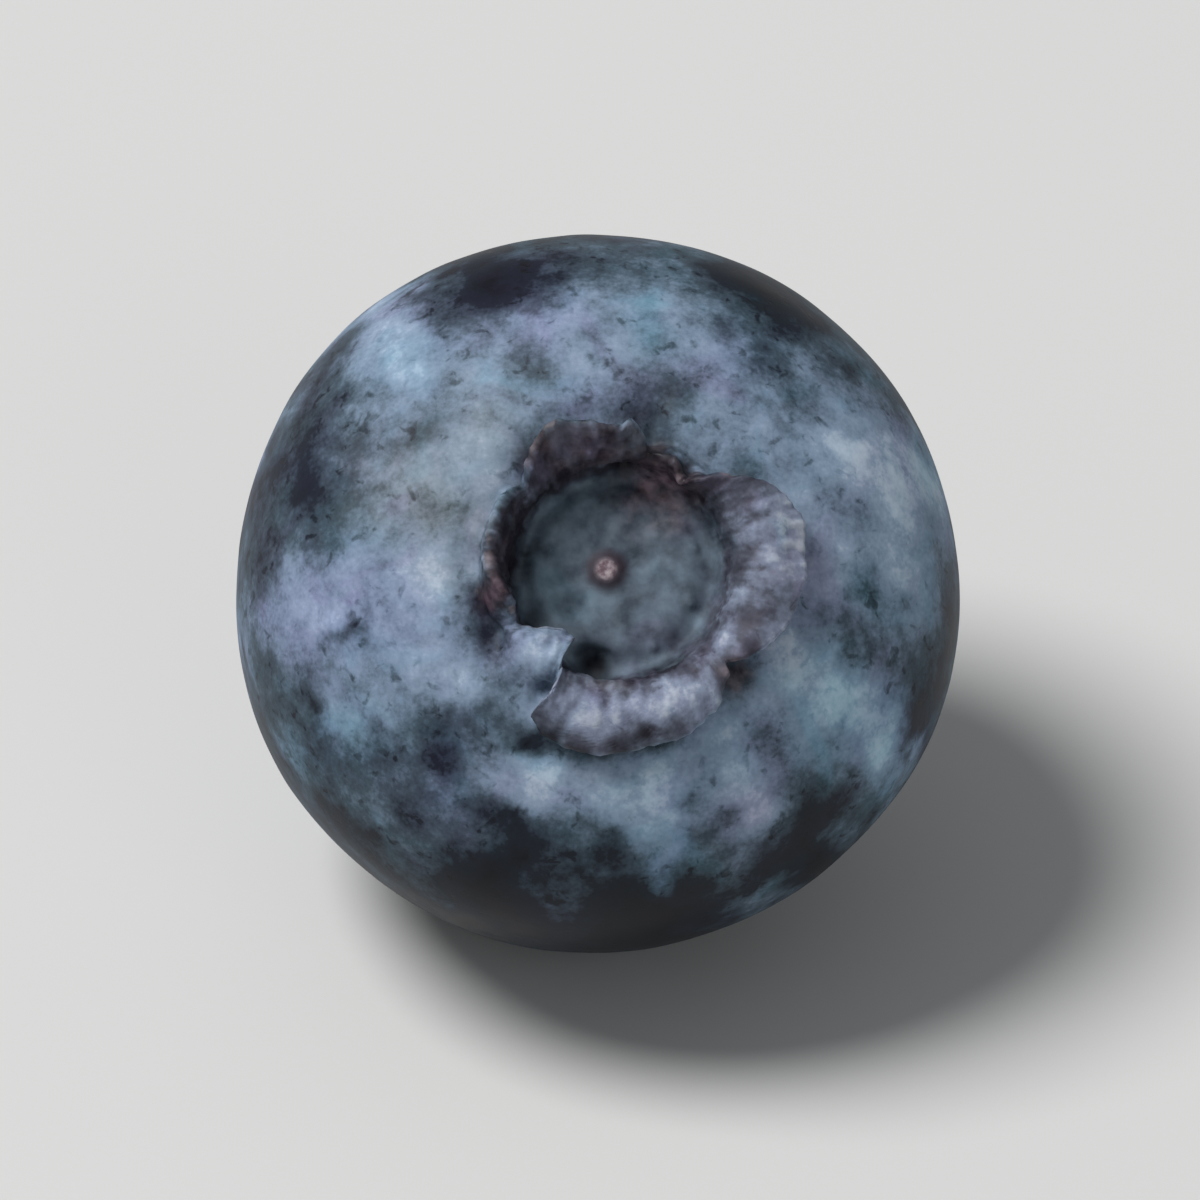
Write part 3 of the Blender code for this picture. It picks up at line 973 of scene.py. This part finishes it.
@dataclass(frozen=True)
class WaxedSkin:
    """Blueberry skin under epicuticular wax, grown and never polished.

    The skin is nearly black blue. The wax on it is a layer of tiny tubes, which scatter
    light: thick wax is a matt, pale blue-grey, and thin wax lets the dark skin through and
    is a little glossier.
    """

    # Colours by the wax's thickness. In the middle they change fastest, which gives a rub
    # its edge.
    colours: tuple[tuple[float, str], ...] = (
        (0.00, "#0D0F15"),
        (0.24, "#1A212B"),
        (0.42, "#44535F"),
        (0.62, "#74869A"),
        (0.80, "#8E9FB4"),
        (1.00, "#C0CCDA"),
    )
    # Tints that drift over the fruit, at this size
    tints: tuple[Tint, ...] = (
        Tint("#88B4B4", 0.54, 0.70, 0.50, Layer.COOLNESS, 0.80),
        Tint("#C2A2CC", 0.47, 0.34, 0.28, Layer.BLUSH, 0.60),
        Tint("#CEBEA7", 0.44, 0.30, 0.26, Layer.WARMTH, 0.66),
    )
    drift_mm: float = 2.2
    # The bloom's clouds, its mottle, and its coarse and fine grains
    layers: tuple[WaxLayer, ...] = (
        WaxLayer(2.2, 0.24, 3.0, 0.9),
        WaxLayer(0.75, 0.17, 4.0, 0.5),
        WaxLayer(0.30, 0.15, 3.0),
        WaxLayer(0.11, 0.12, 2.0),
    )
    # How much of that unevenness shows where the skin is rubbed bare, and in thick bloom
    rubbed_share: float = 0.45
    thick_share: float = 1.25
    # The wax levels out over this much of its thickness
    levelling: float = 0.50
    # Flecks where the bloom is thin: their size, the noise from which they begin and at
    # which they are full, and how much of the bloom is missing
    fleck_mm: float = 0.42
    fleck_noise: Span = (0.58, 0.72)
    fleck: float = 0.15
    bare_roughness: float = 0.42
    waxed_roughness: float = 0.80

    def flecks(self, tree: Tree, place: Value) -> Socket:
        """Flecks with little wax, of many sizes: where fine noise comes near its highest."""
        noise = add_node(
            tree, "TexNoise", "Fac", {},
            {"Vector": place, "Scale": grain(self.fleck_mm), "Detail": 3.0, "Distortion": 0.5},
        )
        return add_node(
            tree, "MapRange", "Result", {"interpolation_type": "SMOOTHSTEP"},
            {
                "Value": noise,
                "From Min": self.fleck_noise[0],
                "From Max": self.fleck_noise[1],
                "To Min": 0.0,
                "To Max": self.fleck,
            },
        )

    def film(self, tree: Tree, place: Value, wax: Value) -> Socket:
        """How thick the wax is at a point, once its clouds, mottle, grains and flecks are in.

        Args:
            tree: The material's node tree.
            place: Object coordinates.
            wax: The wax's thickness before them, from 0 to 1.

        Returns:
            The thickness, from 0 to 1.
        """
        uneven: Value = -sum(layer.strength for layer in self.layers)
        for layer in self.layers:
            cloud = add_node(
                tree, "TexNoise", "Fac", {},
                {
                    "Vector": place,
                    "Scale": grain(layer.size_mm),
                    "Detail": layer.detail,
                    "Distortion": layer.warp,
                },
            )
            uneven = add_node(
                tree, "Math", "Value", {"operation": "MULTIPLY_ADD"},
                {"Value": cloud, "Value_001": layer.strength * 2, "Value_002": uneven},
            )
        spread = add_node(
            tree, "MapRange", "Result", {},
            {"Value": wax, "To Min": self.rubbed_share, "To Max": self.thick_share},
        )
        wax = add_node(
            tree, "Math", "Value", {"operation": "MULTIPLY_ADD"},
            {"Value": uneven, "Value_001": spread, "Value_002": wax},
        )
        flecked = add_node(
            tree, "Math", "Value", {"operation": "SUBTRACT"},
            {"Value": wax, "Value_001": self.flecks(tree, place)},
        )
        return add_node(
            tree, "Math", "Value", {"operation": "SMOOTH_MIN", "use_clamp": True},
            {"Value": flecked, "Value_001": 1.0, "Value_002": self.levelling},
        )

    def tinted(
        self, tree: Tree, place: Value, colour: Value, layers: Mapping[Layer, Socket]
    ) -> Socket:
        """Let a colour drift a little between the tints.

        Args:
            tree: The material's node tree.
            place: Object coordinates.
            colour: The colour.
            layers: The skin's layers.

        Returns:
            The tinted colour.
        """
        drift = add_node(
            tree, "TexNoise", "Fac", {},
            {"Vector": place, "Scale": grain(self.drift_mm), "Detail": 4.0, "Distortion": 0.8},
        )
        for tint in self.tints:
            share = add_node(
                tree, "MapRange", "Result", {},
                {
                    "Value": drift,
                    "From Min": tint.start,
                    "From Max": tint.end,
                    "To Min": 0.0,
                    "To Max": tint.share,
                },
            )
            if tint.layer:
                share = add_node(
                    tree, "Math", "Value", {"operation": "MULTIPLY_ADD", "use_clamp": True},
                    {
                        "Value": layers[tint.layer],
                        "Value_001": tint.layer_share,
                        "Value_002": share,
                    },
                )
            colour = add_node(
                tree, "Mix", "Result_Color", {"data_type": "RGBA", "blend_type": "SOFT_LIGHT"},
                {"Factor_Float": share, "A_Color": colour, "B_Color": linear(tint.colour)},
            )
        return colour

    def roughness(self, tree: Tree, film: Value) -> Socket:
        """Rougher where the wax is thick."""
        return add_node(
            tree, "MapRange", "Result", {},
            {"Value": film, "To Min": self.bare_roughness, "To Max": self.waxed_roughness},
        )


@dataclass(frozen=True)
class Mottle:
    """A tissue of two colours, blotched at the size of its fibres, and matt as dry plants are."""

    dark: str
    pale: str
    blotch_mm: float
    from_share: float = 0.35
    to_share: float = 0.65

    def colour(self, tree: Tree, place: Value) -> Socket:
        """The tissue's colour, from dark to pale with noise.

        Args:
            tree: The material's node tree.
            place: Object coordinates.

        Returns:
            The colour.
        """
        blotches = add_node(
            tree, "TexNoise", "Fac", {},
            {"Vector": place, "Scale": grain(self.blotch_mm), "Detail": 4.0},
        )
        spread = add_node(
            tree, "MapRange", "Result", {},
            {"Value": blotches, "From Min": self.from_share, "From Max": self.to_share},
        )
        return add_node(
            tree, "Mix", "Result_Color", {"data_type": "RGBA"},
            {"Factor_Float": spread, "A_Color": linear(self.dark), "B_Color": linear(self.pale)},
        )


@dataclass(frozen=True)
class BerryFinish:
    """The whole fruit's finish: waxed skin, with the crown's and the scars' own tissues in it."""

    skin: WaxedSkin = WaxedSkin()
    # Inside the lobes thin wax lies on brownish purple leaf tissue that withered
    lobes: tuple[tuple[float, str], ...] = (
        (0.12, "#221F27"),
        (0.48, "#50535F"),
        (0.78, "#7F899C"),
        (1.00, "#B8C1C8"),
    )
    # Their edges dried to a pinkish tan
    dry_edge: Mottle = Mottle("#352A2D", "#8E8284", 0.35)
    # The disc that made nectar is smooth and slate blue-grey
    nectary: Mottle = Mottle("#323B44", "#6B7B87", 0.7, 0.32, 0.68)
    style_scar: Mottle = Mottle("#6E5960", "#BDB0B3", 0.16)
    style_ring: str = "#3C2A31"
    # The torn stem end is rough cork, orange-brown between dark fibres
    cork: Mottle = Mottle("#2A1E19", "#8F6E4C", 0.22)
    # Painted shade: the near-black mixed into the disc's pits
    hollow: str = "#120D10"
    # Plant wax bends light by 1.45. Its tubes scatter most of what a smooth coat would
    # mirror.
    ior: float = 1.45
    specular: float = 0.20
    sheen: float = 0.01
    sheen_roughness: float = 0.45
    sheen_tint: str = "#AFC0D6"
    relief_mm: float = 0.018

    def material(self) -> bpy.types.Material:
        """The finish as one material, which reads the skin's layers by their names."""
        material = bpy.data.materials.new("waxed_berry_skin")
        material.use_nodes = True
        tree = material.node_tree
        shader = tree.nodes["Principled BSDF"]
        place = add_node(tree, "TexCoord", "Object", {}, {})
        layers = {
            layer: add_node(tree, "Attribute", "Fac", {"attribute_name": layer.value}, {})
            for layer in Layer
        }
        film = self.skin.film(tree, place, layers[Layer.WAX_WITH_PAINTED_LIGHT_AND_SHADE])
        colour = ramp(tree, film, self.skin.colours)
        coats = (
            (Layer.CALYX, ramp(tree, film, self.lobes)),
            (Layer.DISC, self.nectary.colour(tree, place)),
            (Layer.STYLE_RING, linear(self.style_ring)),
            (Layer.STYLE, self.style_scar.colour(tree, place)),
            (Layer.DRY_EDGE, self.dry_edge.colour(tree, place)),
            (Layer.CORK, self.cork.colour(tree, place)),
            # The pits' near-black is painted shade
            (Layer.PIT_SHADE, linear(self.hollow)),
        )
        for layer, coat in coats:
            colour = add_node(
                tree, "Mix", "Result_Color", {"data_type": "RGBA"},
                {"Factor_Float": layers[layer], "A_Color": colour, "B_Color": coat},
            )
        colour = self.skin.tinted(tree, place, colour, layers)
        tree.links.new(colour, shader.inputs["Base Color"])
        tree.links.new(self.skin.roughness(tree, film), shader.inputs["Roughness"])
        relief = add_node(
            tree, "Bump", "Normal", {},
            {"Height": film, "Strength": 1.0, "Distance": self.relief_mm * MM},
        )
        tree.links.new(relief, shader.inputs["Normal"])
        shader.inputs["Metallic"].default_value = 0.0
        shader.inputs["IOR"].default_value = self.ior
        shader.inputs["Specular IOR Level"].default_value = self.specular
        shader.inputs["Sheen Weight"].default_value = self.sheen
        shader.inputs["Sheen Roughness"].default_value = self.sheen_roughness
        shader.inputs["Sheen Tint"].default_value = linear(self.sheen_tint)
        return material


@dataclass(frozen=True)
class Relief:
    """The skin's fine relief.

    It has low waves. Round the crown it puckers into short folds that fade with distance.
    The lobes are wrinkled, and the scar is rough.
    """

    # Low unevenness of the skin: two sizes of it, how high each is, and its stations
    skin_waves: tuple[Span, ...] = ((3.2 * MM, 0.05 * MM), (0.9 * MM, 0.012 * MM))
    wavy: Zone = Zone((1.02, 1.10), (2.3, 2.9))
    # Short folds round the crown: their height and size, the stations that have them, and
    # over what distance from the axis they fade
    pucker_height: float = 0.05 * MM
    pucker_size: float = 0.42 * MM
    puckered: Zone = Zone((1.5, 1.6), (2.1, 2.3))
    pucker_fade: Span = (3.9 * MM, 5.4 * MM)
    # A crease goes on over the skin from each notch
    crease_depth: float = 0.08 * MM
    crease_half_width: float = 5.0
    # Folds run along the radius, because their noise is read near a circle of this radius.
    # These shares of the true places come on top.
    fold_radius: float = 3 * MM
    pucker_drift: float = 0.15
    wrinkle_drift: float = 0.5
    # The lobes' wrinkles: folds that run up them, and coarser creases in all directions
    wrinkle_height: float = 0.045 * MM
    wrinkle_size: float = 0.30 * MM
    wrinkle_folds: float = 0.8
    wrinkle_creases: float = 0.4
    crease_size: float = 0.39 * MM
    wrinkled: Zone = Zone((2.2, 2.5), (4.9, 5.15))
    # The scar's cork
    cork_height: float = 0.04 * MM
    cork_size: float = 0.25 * MM
    corky_until: Span = (0.8, 1.1)
    noise: LatticeNoise = NOISE

    def rise(self, station: Floats, points: Floats, notches: Floats) -> Floats:
        """How far the surface rises over its plain form.

        Args:
            station: The station of each ring.
            points: Places on the upright berry.
            notches: How near each column is to a notch of the crown, from 0 to 1.

        Returns:
            The rise at each place.
        """
        on = station[:, None]
        radius = np.linalg.norm(points[..., :2], axis=-1)
        waves = sum(
            height * self.noise.at(points + height, size) for size, height in self.skin_waves
        )
        puckers = self.folds(points, self.pucker_drift, self.pucker_size, 2)
        rise = self.pucker_height * puckers - self.crease_depth * notches
        rise = rise * self.puckered.share(on) * (1 - ease(*self.pucker_fade, radius))
        rise += waves * self.wavy.share(on)
        rise += self.wrinkle_height * self.wrinkles(station, points)
        cork = self.noise.layered(points, self.cork_size, 2)
        return rise + self.cork_height * cork * (1 - ease(*self.corky_until, on))

    def folds(self, points: Floats, drift: float, size: float, layers: int) -> Floats:
        """Noise in streaks along the radius: read near a circle, plus a share of the way."""
        radius = np.linalg.norm(points[..., :2], axis=-1, keepdims=True)
        turned_in = points * (1, 1, 0) / np.maximum(radius, 1e-9) * self.fold_radius
        return self.noise.layered(turned_in + points * drift, size, layers)

    def wrinkles(self, station: Floats, points: Floats) -> Floats:
        """The lobes' wrinkles, which run up them: from -1 to 1 there, and 0 elsewhere."""
        folds = self.folds(points, self.wrinkle_drift, self.wrinkle_size, 3)
        creases = self.noise.layered(points, self.crease_size, 3)
        both = self.wrinkle_folds * folds + self.wrinkle_creases * creases
        return both * self.wrinkled.share(station[:, None])


@dataclass(frozen=True)
class Tissues:
    """Where the fruit's tissues lie on its skin, and how strongly each one shows."""

    bloom: Bloom = Bloom()
    # Where the tissues change: the stations, and how far and finely their borders fray
    fray: float = 0.10
    fray_size: float = 0.5 * MM
    cork_end: Span = (0.75, 0.98)
    dry_edges: Zone = Zone((3.0, 3.3), (3.5, 3.9))
    withered: Zone = Zone((3.3, 3.9), (4.9, 5.1))
    # Towards the disc the lobes' inside is darkened, partly as painted shade
    shaded_inner_foot: Zone = Zone((4.3, 4.9), (5.0, 5.2))
    # The painted shade in the pits begins between these stations
    disc_start: Span = (4.9, 5.1)
    pit_shade_start: Span = (4.5, 4.9)
    # The painted shade in a pit is full from this depth on
    full_pit_shade_depth: float = 0.50 * MM
    # The style's scar and the dark ring round it, by the distance from the axis
    style_edge: Span = (0.16 * MM, 0.32 * MM)
    ring_edge: Span = (0.34 * MM, 0.68 * MM)
    # The fray from which a rim's dry edge begins, and at which it is full
    edge_fray: Span = (-0.1, 0.5)
    # How dry a dry patch is, and how much the fray adds to that
    dry_share: float = 0.7
    dry_fray: float = 0.6
    # How much wax the lobes' inside lacks towards its foot at the disc, partly thin wax and
    # partly painted shade there, and how much of the wax follows the wrinkles
    inner_foot_shade: float = 0.25
    wrinkle_wax: float = 0.22
    # How far each tissue hides the skin's own colour
    calyx_cover: float = 0.9
    edge_cover: float = 0.5
    disc_cover: float = 0.9
    style_cover: float = 0.8
    ring_cover: float = 0.75
    # How far the painted shade in the pits hides the skin's own colour
    pit_shade_cover: float = 0.92
    noise: LatticeNoise = NOISE

    def layers(
        self, station: Floats, points: Floats, wrinkles: Floats, pit_depth: Floats
    ) -> dict[Layer, Floats]:
        """What the finish needs to know at each place of the upright skin.

        Args:
            station: The station of each ring.
            points: Places on the upright berry.
            wrinkles: The lobes' wrinkles at each place.
            pit_depth: How deep the disc's pits are at each place.

        Returns:
            Each layer's strength, from 0 to 1.
        """
        fray = self.noise.layered(points, self.fray_size, 3)
        on = station[:, None] + self.fray * fray
        radius = np.linalg.norm(points[..., :2], axis=-1)
        wax, blush, dry, warmth, coolness = self.bloom.over(points)
        # Less wax at the foot of the lobes' inside: partly thin wax, partly painted shade
        wax = wax - self.inner_foot_shade * self.shaded_inner_foot.share(on)
        wax += self.wrinkle_wax * wrinkles
        edge = self.edge_cover * self.dry_edges.share(on) * ease(*self.edge_fray, fray)
        dry = dry * (self.dry_share + self.dry_fray * fray)
        on_disc = station[:, None] >= Part.DISC
        # Painted shade in the disc's pits, darker where they are deeper
        pits = np.clip(pit_depth / self.full_pit_shade_depth, 0, 1)
        return {
            Layer.WAX_WITH_PAINTED_LIGHT_AND_SHADE: np.clip(wax, 0, 1),
            Layer.BLUSH: blush,
            Layer.WARMTH: warmth,
            Layer.COOLNESS: coolness,
            Layer.CALYX: self.calyx_cover * self.withered.share(on),
            Layer.DRY_EDGE: np.clip(np.maximum(edge, dry), 0, 1),
            Layer.DISC: self.disc_cover * ease(*self.disc_start, on),
            Layer.STYLE: self.style_cover * (1 - ease(*self.style_edge, radius)) * on_disc,
            Layer.STYLE_RING: self.ring_cover * (1 - ease(*self.ring_edge, radius)) * on_disc,
            Layer.CORK: 1 - ease(*self.cork_end, on),
            Layer.PIT_SHADE: self.pit_shade_cover * pits * ease(*self.pit_shade_start, on),
        }


@dataclass(frozen=True)
class Blueberry:
    """The whole fruit as one closed skin."""

    name: str = "blueberry_fruit"
    body: Body = Body()
    scar: StemScar = StemScar()
    crown: Crown = Crown()
    disc: Disc = Disc()
    lie: Lie = Lie()
    relief: Relief = Relief()
    tissues: Tissues = Tissues()
    finish: BerryFinish = BerryFinish()
    columns: int = 390
    # The disc's low relief begins between these stations
    disc_relief: Span = (4.75, 5.0)
    # The share of the flat map's room that its two discs use, and the share of the way from
    # pole to pole that each has room for
    map_room: float = 0.99
    map_reach: float = 0.51

    def spacing(self) -> dict[Part, float]:
        """How close the rings of each stretch are."""
        return {
            Part.STEM_SCAR: 0.10 * MM,
            Part.BODY: 0.30 * MM,
            Part.OUTER_WALL: 0.06 * MM,
            Part.RIM: 0.055 * MM,
            Part.INNER_WALL: 0.06 * MM,
            Part.DISC: 0.08 * MM,
        }

    def angles(self) -> Floats:
        """The angle of each column, in degrees."""
        return np.arange(self.columns) * 360 / self.columns

    def upright(self) -> tuple[Floats, Floats]:
        """The upright skin, its axis on Z and its equator at Z = 0.

        Returns:
            The station of each ring, and the places by ring and column.
        """
        angle = self.angles()
        skin_height = self.body.crown_skin_height(self.crown.groove_radius)
        rings = Rings.joined(
            [
                self.scar.surface(angle),
                self.body.surface(angle),
                self.crown.surface(angle, skin_height),
                self.disc.surface(angle),
            ]
        ).refined(self.spacing())
        turn = np.radians(angle + self.crown.aside(rings.station, angle))
        points = np.stack(
            [rings.radius * np.cos(turn), rings.radius * np.sin(turn), rings.height], axis=-1
        )
        return rings.station, points + self.crown.off_axis(rings.radius, rings.height)

    def normals(self, points: Floats) -> Floats:
        """Directions out of the surface: across the rings and along them, multiplied crosswise."""
        along_ring = np.roll(points, -1, axis=1) - np.roll(points, 1, axis=1)
        across_rings = np.gradient(points, axis=0)
        outward = np.cross(along_ring, across_rings)
        return outward / np.maximum(np.linalg.norm(outward, axis=-1, keepdims=True), 1e-15)

    def flat_map(self, points: Floats, corners: Floats, sides: Floats) -> Floats:
        """A map of the skin: the stem's half and the crown's half as two discs in a square.

        A corner's distance from its disc's middle is its distance along the skin from its
        pole, and its angle is its column's. The stem's half is turned over, so that both
        discs are seen from outside. They touch each other and two sides each of the square.

        Args:
            points: Places on the skin by ring and column, with a ring at each pole.
            corners: For each face corner, its place in the points, counted ring by ring.
            sides: For each face, how many corners it has.

        Returns:
            The place of each face corner on the map.
        """
        steps = np.linalg.norm(np.diff(points, axis=0), axis=-1).mean(axis=1)
        along = np.concatenate([[0.0], np.cumsum(steps)])
        ring, column = corners // points.shape[1], corners % points.shape[1]
        first = ring[np.cumsum(sides) - sides]
        crown_side = np.repeat(along[first] > along[-1] / 2, sides)
        edge = self.map_room / (2 + math.sqrt(2))
        distance = np.where(crown_side, along[-1] - along[ring], along[ring])
        distance *= edge / (self.map_reach * along[-1])
        turn = 2 * math.pi * column / points.shape[1] * np.where(crown_side, 1, -1)
        middle = np.where(crown_side, 1 - edge, edge)
        return np.stack([middle + distance * np.cos(turn), middle + distance * np.sin(turn)], -1)

    def mesh(self) -> bpy.types.Mesh:
        """The closed skin as a mesh: four-sided faces between rings, and a fan at each pole."""
        station, points = self.upright()
        notches = self.crown.at_notches(self.angles(), self.relief.crease_half_width)
        rise = self.relief.rise(station, points, notches)
        rise += self.disc.relief(points[..., :2]) * ease(*self.disc_relief, station[:, None])
        points = points + self.normals(points) * rise[..., None]
        wrinkles = self.relief.wrinkles(station, points)
        pit_depth = self.disc.pit_depth(points[..., :2])
        layers = self.tissues.layers(station, points, wrinkles, pit_depth)
        rings, columns = points.shape[:2]
        ends = np.array([[0, 0, self.scar.middle], [0, 0, self.disc.middle]])
        places = self.lie.laid(np.concatenate([points.reshape(-1, 3), ends]))
        row, column = np.meshgrid(np.arange(1, rings), np.arange(columns), indexing="ij")
        after = (column + 1) % columns
        quads = np.stack([row, row, row + 1, row + 1], axis=-1) * columns
        quads += np.stack([column, after, after, column], axis=-1)
        here, there = np.arange(columns), (np.arange(columns) + 1) % columns
        last = rings * columns
        stem_fan = np.stack([here, columns + there, columns + here], axis=-1)
        crown_fan = np.stack([last + columns + here, last + here, last + there], axis=-1)
        corners = np.concatenate([quads.ravel(), stem_fan.ravel(), crown_fan.ravel()])
        sides = np.repeat([4, 3], [quads.size // 4, 2 * columns])
        vertices = np.where(corners < columns, last, corners - columns)
        vertices = np.where(corners >= last + columns, last + 1, vertices)
        mesh = bpy.data.meshes.new(self.name)
        mesh.vertices.add(len(places))
        mesh.vertices.foreach_set("co", places.ravel())
        mesh.loops.add(len(vertices))
        mesh.loops.foreach_set("vertex_index", vertices)
        mesh.polygons.add(len(sides))
        mesh.polygons.foreach_set("loop_start", np.cumsum(sides) - sides)
        mesh.update(calc_edges=True)
        poles = ends[:, None] * np.ones((1, columns, 1))
        with_poles = np.concatenate([poles[:1], points, poles[1:]])
        flat = mesh.uv_layers.new(name="OFBake")
        flat.uv.foreach_set("vector", self.flat_map(with_poles, corners, sides).ravel())
        mesh.validate()
        mesh.shade_smooth()
        for layer, values in layers.items():
            at_poles = values[0].mean(), values[-1].mean()
            attribute = mesh.attributes.new(layer.value, "FLOAT", "POINT")
            attribute.data.foreach_set("value", np.append(values.ravel(), at_poles))
        return mesh

    def build(self) -> bpy.types.Object:
        """Make the fruit, dress it and let it stand for the solid."""
        mesh = self.mesh()
        mesh.materials.append(self.finish.material())
        fruit = bpy.data.objects.new(self.name, mesh)
        bpy.context.scene.collection.objects.link(fruit)
        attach(fruit, "root")
        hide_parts("blueberry")
        log.info("%s: %d triangles", fruit.name, len(mesh.loops) - 2 * len(mesh.polygons))
        return fruit


@dataclass(frozen=True)
class Studio:
    """A plain pale floor, soft light from above and a camera that looks down at the crown."""

    floor_size: float = 3.0
    floor_colour: str = "#D0D0CE"
    floor_roughness: float = 0.9
    azimuth: float = -3.4
    elevation: float = 40.0
    distance: float = 0.65
    lens: float = 790.0
    target: tuple[float, float, float] = (0.0, -0.001, 0.0097)
    key_from: tuple[float, float, float] = (-0.44, 0.02, 0.82)
    key_size: float = 0.42
    key_power: float = 8.6
    fill_from: tuple[float, float, float] = (0.35, -0.75, 0.45)
    fill_size: float = 0.6
    fill_power: float = 0.7
    sky_colour: str = "#F2F5FA"
    sky_strength: float = 0.25
    tone: Tone = Tone.STANDARD

    def build_floor(self) -> None:
        """The floor, a square of matt paper."""
        half = self.floor_size / 2
        mesh = bpy.data.meshes.new("studio_floor")
        corners = [(-half, -half, 0), (half, -half, 0), (half, half, 0), (-half, half, 0)]
        mesh.from_pydata(corners, [], [(0, 1, 2, 3)])
        material = bpy.data.materials.new("floor_paper")
        material.use_nodes = True
        shader = material.node_tree.nodes["Principled BSDF"]
        shader.inputs["Base Color"].default_value = linear(self.floor_colour)
        shader.inputs["Roughness"].default_value = self.floor_roughness
        mesh.materials.append(material)
        floor = bpy.data.objects.new("studio_floor", mesh)
        bpy.context.scene.collection.objects.link(floor)

    def aimed(self, name: str, data: bpy.types.ID, place: Vector, at: Vector) -> bpy.types.Object:
        """Add an object that looks from one place at another.

        Args:
            name: The object's name.
            data: The light or the camera.
            place: Where it stands.
            at: What it looks at.

        Returns:
            The object.
        """
        thing = bpy.data.objects.new(name, data)
        thing.location = place
        thing.rotation_euler = (at - place).to_track_quat("-Z", "Y").to_euler()
        bpy.context.scene.collection.objects.link(thing)
        return thing

    def build_light(self) -> None:
        """A soft key light from above and to the left, a weak fill, and a dim sky."""
        sources = (
            ("key_light", self.key_from, self.key_size, self.key_power),
            ("fill_light", self.fill_from, self.fill_size, self.fill_power),
        )
        for name, place, size, power in sources:
            light = bpy.data.lights.new(name, "AREA")
            light.shape = "DISK"
            light.size = size
            light.energy = power
            self.aimed(name, light, Vector(place), Vector(self.target))
        world = bpy.data.worlds.new("studio_sky")
        world.use_nodes = True
        background = world.node_tree.nodes["Background"]
        background.inputs["Color"].default_value = linear(self.sky_colour)
        background.inputs["Strength"].default_value = self.sky_strength
        bpy.context.scene.world = world

    def build_camera(self) -> None:
        """A camera with a long lens, at the chosen azimuth and elevation round its target."""
        turn, rise = math.radians(self.azimuth), math.radians(self.elevation)
        away = Vector((math.sin(turn), -math.cos(turn), 0)) * math.cos(rise)
        away.z = math.sin(rise)
        camera = bpy.data.cameras.new("studio_camera")
        camera.lens = self.lens
        camera.clip_start = 0.01
        target = Vector(self.target)
        bpy.context.scene.camera = self.aimed(
            "studio_camera", camera, target + away * self.distance, target
        )

    def build(self) -> None:
        """Everything round the fruit."""
        self.build_floor()
        self.build_light()
        self.build_camera()
        bpy.context.scene.view_settings.view_transform = self.tone.value


def main() -> None:
    """Build the fruit and the studio round it."""
    logging.basicConfig(level=logging.INFO, format="%(message)s")
    Blueberry().build()
    Studio().build()


if __name__ == "__main__":
    main()
